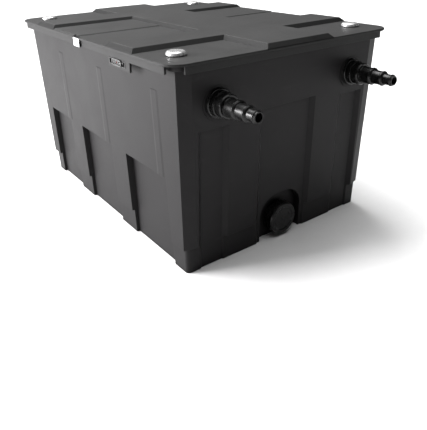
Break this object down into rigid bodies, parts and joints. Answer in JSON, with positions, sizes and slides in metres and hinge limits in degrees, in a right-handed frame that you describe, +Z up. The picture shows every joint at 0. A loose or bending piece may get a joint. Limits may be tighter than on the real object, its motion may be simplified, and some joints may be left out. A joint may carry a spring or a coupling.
{
  "type": "pond filter",
  "caption": "Large box-shaped gravity pond filter with a lift-off relief lid, stepped hose inlets, a capped drain and chambers of foam and bio media.",
  "frame": {"origin": "middle of the tub's flat underside", "axes": "-Y out through the end with the hose inlets and the drain cap, +X to the right when facing that end from inside looking along +Y, +Z up"},
  "size_m": [0.5844, 0.9274, 0.45],
  "materials": {
    "tub_plastic": "satin moulded",
    "lid_plastic": "matte textured",
    "fitting_plastic": "glossy moulded",
    "gloss_black": "glossy",
    "inner_plastic": "matte",
    "carrier_red": "satin",
    "ball_plastic": "matte",
    "seal_rubber": "matte",
    "brass": "machined",
    "chrome": "polished",
    "dial": "silver print",
    "clear": "clear",
    "foam_blue": "open-cell foam",
    "foam_black": "open-cell foam",
    "mat_fibre": "coarse fibre mat"
  },
  "bodies": {
    "tub": {"tub": "tub_plastic", "lid_gasket": "seal_rubber", "drain_gasket": "seal_rubber", "outlet_gasket": "seal_rubber", "rim_inserts": "brass", "inlet_gasket_left": "seal_rubber", "inlet_seal_left": "seal_rubber", "inlet_flange_left": "fitting_plastic", "inlet_locknut_left": "fitting_plastic", "hose_tail_left": "fitting_plastic", "inlet_elbow_left": "fitting_plastic", "inlet_gasket_right": "seal_rubber", "inlet_seal_right": "seal_rubber", "inlet_flange_right": "fitting_plastic", "inlet_locknut_right": "fitting_plastic", "hose_tail_right": "fitting_plastic", "inlet_elbow_right": "fitting_plastic", "drain_stub": "fitting_plastic", "drain_locknut": "fitting_plastic", "outlet_spout": "fitting_plastic", "outlet_locknut": "fitting_plastic", "outlet_riser": "fitting_plastic", "partition_front": "inner_plastic", "partition_rear": "inner_plastic", "foam_grid": "inner_plastic"},
    "lid": {"lid": "lid_plastic", "screw_washers": "seal_rubber", "clip_pins": "chrome", "thermometer_case": "gloss_black", "thermometer_bezel": "chrome", "thermometer_dial": "dial", "thermometer_lens": "clear"},
    "drain_cap": {"drain_cap": "fitting_plastic", "drain_seal": "seal_rubber"},
    "media_basket": {"media_basket": "inner_plastic", "filter_mat_lower": "mat_fibre", "filter_mat_upper": "mat_fibre", "bio_balls": "ball_plastic"},
    "lid_screw_front_left": {"lid_screw_front_left": "chrome"},
    "lid_screw_front_right": {"lid_screw_front_right": "chrome"},
    "lid_screw_rear_left": {"lid_screw_rear_left": "chrome"},
    "lid_screw_rear_right": {"lid_screw_rear_right": "chrome"},
    "lid_clip_left": {"lid_clip_left": "chrome"},
    "union_nut_left": {"union_nut_left": "fitting_plastic"},
    "lid_clip_right": {"lid_clip_right": "chrome"},
    "union_nut_right": {"union_nut_right": "fitting_plastic"},
    "foam_cartridge_1": {"foam_1": "foam_blue", "foam_carrier_1": "carrier_red"},
    "foam_cartridge_2": {"foam_2": "foam_black", "foam_carrier_2": "carrier_red"},
    "foam_cartridge_3": {"foam_3": "foam_black", "foam_carrier_3": "carrier_red"},
    "foam_cartridge_4": {"foam_4": "foam_blue", "foam_carrier_4": "carrier_red"}
  },
  "joints": [
    {"name": "lid_lift", "type": "slide", "parent": "tub", "child": "lid", "axis": [0, 0, 1], "range_m": [0, 0.3]},
    {"name": "screw_front_left_turn", "type": "hinge", "parent": "lid", "child": "lid_screw_front_left", "pos_m": [-0.235, -0.318, 0.44], "axis": [0, 0, 1], "range_deg": [0, 720]},
    {"name": "screw_front_right_turn", "type": "hinge", "parent": "lid", "child": "lid_screw_front_right", "pos_m": [0.235, -0.318, 0.44], "axis": [0, 0, 1], "range_deg": [0, 720]},
    {"name": "screw_rear_left_turn", "type": "hinge", "parent": "lid", "child": "lid_screw_rear_left", "pos_m": [-0.235, 0.318, 0.44], "axis": [0, 0, 1], "range_deg": [0, 720]},
    {"name": "screw_rear_right_turn", "type": "hinge", "parent": "lid", "child": "lid_screw_rear_right", "pos_m": [0.235, 0.318, 0.44], "axis": [0, 0, 1], "range_deg": [0, 720]},
    {"name": "clip_left_swing", "type": "hinge", "parent": "lid", "child": "lid_clip_left", "pos_m": [-0.2894, 0.004, 0.438], "axis": [0, 1, 0], "range_deg": [0, 95]},
    {"name": "clip_right_swing", "type": "hinge", "parent": "lid", "child": "lid_clip_right", "pos_m": [0.2894, 0.004, 0.438], "axis": [0, -1, 0], "range_deg": [0, 95]},
    {"name": "union_left_turn", "type": "hinge", "parent": "tub", "child": "union_nut_left", "pos_m": [-0.183, -0.392, 0.354], "axis": [0, -1, 0], "range_deg": [0, 540]},
    {"name": "union_right_turn", "type": "hinge", "parent": "tub", "child": "union_nut_right", "pos_m": [0.183, -0.392, 0.354], "axis": [0, -1, 0], "range_deg": [0, 540]},
    {"name": "drain_cap_turn", "type": "hinge", "parent": "tub", "child": "drain_cap", "pos_m": [0, -0.35, 0.044], "axis": [0, -1, 0], "range_deg": [0, 900]},
    {"name": "foam_pull_1", "type": "slide", "parent": "tub", "child": "foam_cartridge_1", "axis": [0, 0, 1], "range_m": [0, 0.06]},
    {"name": "foam_pull_2", "type": "slide", "parent": "tub", "child": "foam_cartridge_2", "axis": [0, 0, 1], "range_m": [0, 0.06]},
    {"name": "foam_pull_3", "type": "slide", "parent": "tub", "child": "foam_cartridge_3", "axis": [0, 0, 1], "range_m": [0, 0.06]},
    {"name": "foam_pull_4", "type": "slide", "parent": "tub", "child": "foam_cartridge_4", "axis": [0, 0, 1], "range_m": [0, 0.06]},
    {"name": "basket_lift", "type": "slide", "parent": "tub", "child": "media_basket", "axis": [0, 0, 1], "range_m": [0, 0.12]}
  ]
}
